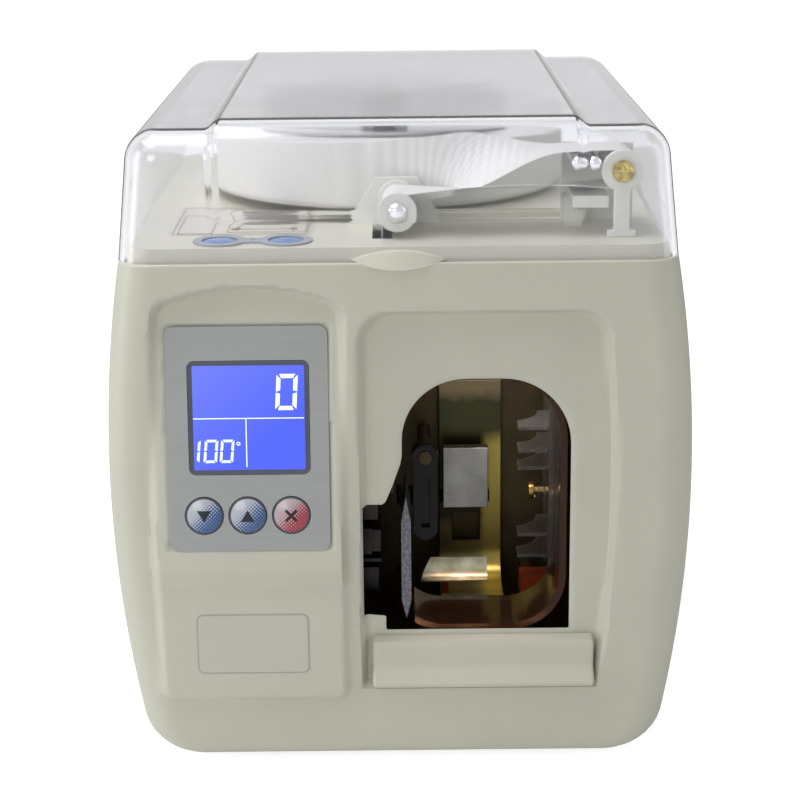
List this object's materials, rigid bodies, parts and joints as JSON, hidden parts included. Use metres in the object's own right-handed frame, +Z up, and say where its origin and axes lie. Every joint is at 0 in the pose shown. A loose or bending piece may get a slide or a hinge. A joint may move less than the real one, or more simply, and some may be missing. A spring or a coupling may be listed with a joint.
{
  "type": "banknote strapping machine",
  "caption": "Desk-top machine that straps a bundle of banknotes with paper tape: clear hinged hood over the tape reel, display and push buttons, arched note opening with sealing head",
  "frame": {"origin": "on the ground under the middle of the whole machine's box", "axes": "X to the right seen from the front, Y from the front to the back, Z up"},
  "size_m": [0.25, 0.294, 0.282],
  "materials": {
    "ivory_plastic": "moulded, fine texture",
    "cream_plastic": "moulded, fine texture",
    "clear_plastic": "clear, polished",
    "smoked_plastic": "smoked, polished",
    "panel_paint": "brushed silver-grey film",
    "window_plastic": "clear",
    "display_blue": "lit from behind",
    "board_green": "lacquered board",
    "dark_plastic": "moulded",
    "button_blue": "domed, printed from behind",
    "button_red": "domed, printed from behind",
    "key_blue": "moulded",
    "grey_plastic": "moulded",
    "white_plastic": "moulded",
    "steel": "ground",
    "bright_steel": "bright",
    "zinc_plate": "zinc plated sheet",
    "tape_paper": "smooth",
    "core_board": "wound",
    "roller_rubber": "ground",
    "brass": "turned",
    "aluminium": "machined",
    "motor_steel": "drawn can",
    "rocker_red": "moulded"
  },
  "bodies": {
    "machine": {"housing_shell": "ivory_plastic", "rear_panel": "ivory_plastic", "base_plate": "steel", "rubber_feet": "roller_rubber", "case_screws": "zinc_plate", "top_deck": "cream_plastic", "note_rest": "ivory_plastic", "hinge_brackets": "zinc_plate", "control_panel": "panel_paint", "display_window": "window_plastic", "display_module": "display_blue", "display_board": "board_green", "key_base": "grey_plastic", "key_switches": "dark_plastic", "reel_spindle": "steel", "tape_strip": "tape_paper", "corner_post": "white_plastic", "corner_screw": "zinc_plate", "guide_block": "white_plastic", "guide_pins": "bright_steel", "roller_bracket": "white_plastic", "centre_pin": "bright_steel", "main_frame": "zinc_plate", "loop_track": "smoked_plastic", "side_guide": "clear_plastic", "stop_bracket": "zinc_plate", "plunger_spring": "bright_steel", "head_frame": "zinc_plate", "ram_guide": "dark_plastic", "drive_motor": "motor_steel", "feed_bracket": "zinc_plate", "feed_motor": "motor_steel", "control_board": "board_green", "power_unit": "motor_steel", "power_inlet": "dark_plastic"},
    "hood_lid": {"hood": "clear_plastic"},
    "down_push": {"down_button": "button_blue"},
    "up_push": {"up_button": "button_blue"},
    "clear_push": {"clear_button": "button_red"},
    "feed_push": {"feed_key": "key_blue"},
    "test_push": {"test_key": "key_blue"},
    "reel": {"reel_platter": "white_plastic", "tape_core": "core_board", "tape_roll": "tape_paper", "reel_disc": "smoked_plastic"},
    "corner_wheel": {"corner_roller": "white_plastic"},
    "centre_wheel": {"centre_roller": "white_plastic"},
    "stop_slide": {"note_stop": "bright_steel"},
    "finger": {"note_finger": "dark_plastic"},
    "plunger": {"note_plunger": "brass"},
    "anvil": {"anvil_blade": "bright_steel"},
    "clamp": {"clamp_jaws": "steel"},
    "heater": {"heater_block": "aluminium"},
    "cutter": {"cutter_blade": "steel"},
    "cams": {"cam_shaft": "steel"},
    "pinion": {"motor_pinion": "brass"},
    "feed_wheel": {"feed_roller": "roller_rubber"},
    "pinch_lever": {"pinch_arm": "zinc_plate"},
    "pinch_wheel": {"pinch_roller": "roller_rubber"},
    "rocker": {"power_rocker": "rocker_red"}
  },
  "joints": [
    {"name": "hood_swing", "type": "hinge", "parent": "machine", "child": "hood_lid", "pos_m": [0, 0.1438, 0.226], "axis": [-1, 0, 0], "range_deg": [0, 95]},
    {"name": "down_button_press", "type": "slide", "parent": "machine", "child": "down_push", "axis": [0, 0.9933, -0.1153], "range_m": [0, 0.0008], "stiffness_N_per_m": 600, "springref_m": -0.0008},
    {"name": "up_button_press", "type": "slide", "parent": "machine", "child": "up_push", "axis": [0, 0.9933, -0.1153], "range_m": [0, 0.0008], "stiffness_N_per_m": 600, "springref_m": -0.0008},
    {"name": "clear_button_press", "type": "slide", "parent": "machine", "child": "clear_push", "axis": [0, 0.9933, -0.1153], "range_m": [0, 0.0008], "stiffness_N_per_m": 600, "springref_m": -0.0008},
    {"name": "feed_key_press", "type": "slide", "parent": "machine", "child": "feed_push", "axis": [0, 0, -1], "range_m": [0, 0.001], "stiffness_N_per_m": 500, "springref_m": -0.001},
    {"name": "test_key_press", "type": "slide", "parent": "machine", "child": "test_push", "axis": [0, 0, -1], "range_m": [0, 0.001], "stiffness_N_per_m": 500, "springref_m": -0.001},
    {"name": "reel_spin", "type": "hinge", "parent": "machine", "child": "reel", "pos_m": [-0.006, 0.01, 0.236], "axis": [0, 0, 1], "continuous": true},
    {"name": "corner_roller_spin", "type": "hinge", "parent": "machine", "child": "corner_wheel", "pos_m": [0.0933, -0.1035, 0.2579], "axis": [0, 1, 0], "continuous": true},
    {"name": "centre_roller_spin", "type": "hinge", "parent": "machine", "child": "centre_wheel", "pos_m": [-0.0004, -0.1035, 0.2412], "axis": [0, 1, 0], "continuous": true},
    {"name": "note_stop_slide", "type": "slide", "parent": "machine", "child": "stop_slide", "axis": [0, 1, 0], "range_m": [-0.014, 0.005]},
    {"name": "finger_swing", "type": "hinge", "parent": "machine", "child": "finger", "pos_m": [0.011, -0.085, 0.124], "axis": [0, -1, 0], "range_deg": [0, 12]},
    {"name": "plunger_press", "type": "slide", "parent": "machine", "child": "plunger", "axis": [1, 0, 0], "range_m": [0, 0.003], "stiffness_N_per_m": 120, "springref_m": -0.002, "deforming": ["plunger_spring"]},
    {"name": "anvil_slide", "type": "slide", "parent": "machine", "child": "anvil", "axis": [0, 1, 0], "range_m": [0, 0.03]},
    {"name": "clamp_slide", "type": "slide", "parent": "machine", "child": "clamp", "axis": [1, 0, 0], "range_m": [0, 0.007], "stiffness_N_per_m": 200, "springref_m": -0.004},
    {"name": "heater_slide", "type": "slide", "parent": "machine", "child": "heater", "axis": [1, 0, 0], "range_m": [0, 0.007], "stiffness_N_per_m": 200, "springref_m": -0.004},
    {"name": "cutter_slide", "type": "slide", "parent": "machine", "child": "cutter", "axis": [1, 0, 0], "range_m": [0, 0.007], "stiffness_N_per_m": 200, "springref_m": -0.004},
    {"name": "cam_spin", "type": "hinge", "parent": "machine", "child": "cams", "pos_m": [-0.078, -0.1, 0.048], "axis": [0, 0, 1], "continuous": true},
    {"name": "pinion_spin", "type": "hinge", "parent": "machine", "child": "pinion", "pos_m": [-0.078, -0.068, 0.048], "axis": [0, 0, 1], "continuous": true},
    {"name": "feed_spin", "type": "hinge", "parent": "machine", "child": "feed_wheel", "pos_m": [-0.0161, -0.1035, 0.199], "axis": [0, 1, 0], "continuous": true},
    {"name": "pinch_swing", "type": "hinge", "parent": "machine", "child": "pinch_lever", "pos_m": [0.0126, -0.1035, 0.208], "axis": [0, -1, 0], "range_deg": [0, 8], "stiffness_Nm_per_rad": 0.3, "springref_deg": -5.73},
    {"name": "pinch_spin", "type": "hinge", "parent": "pinch_lever", "child": "pinch_wheel", "pos_m": [0.0006, -0.1035, 0.199], "axis": [0, 1, 0], "continuous": true},
    {"name": "rocker_tip", "type": "hinge", "parent": "machine", "child": "rocker", "pos_m": [0.062, 0.1395, 0.077], "axis": [1, 0, 0], "range_deg": [0, 16]}
  ],
  "couplings": [
    {"joint": "pinion_spin", "follows": "cam_spin", "ratio": -3},
    {"joint": "pinch_spin", "follows": "feed_spin", "ratio": -1.2571}
  ]
}
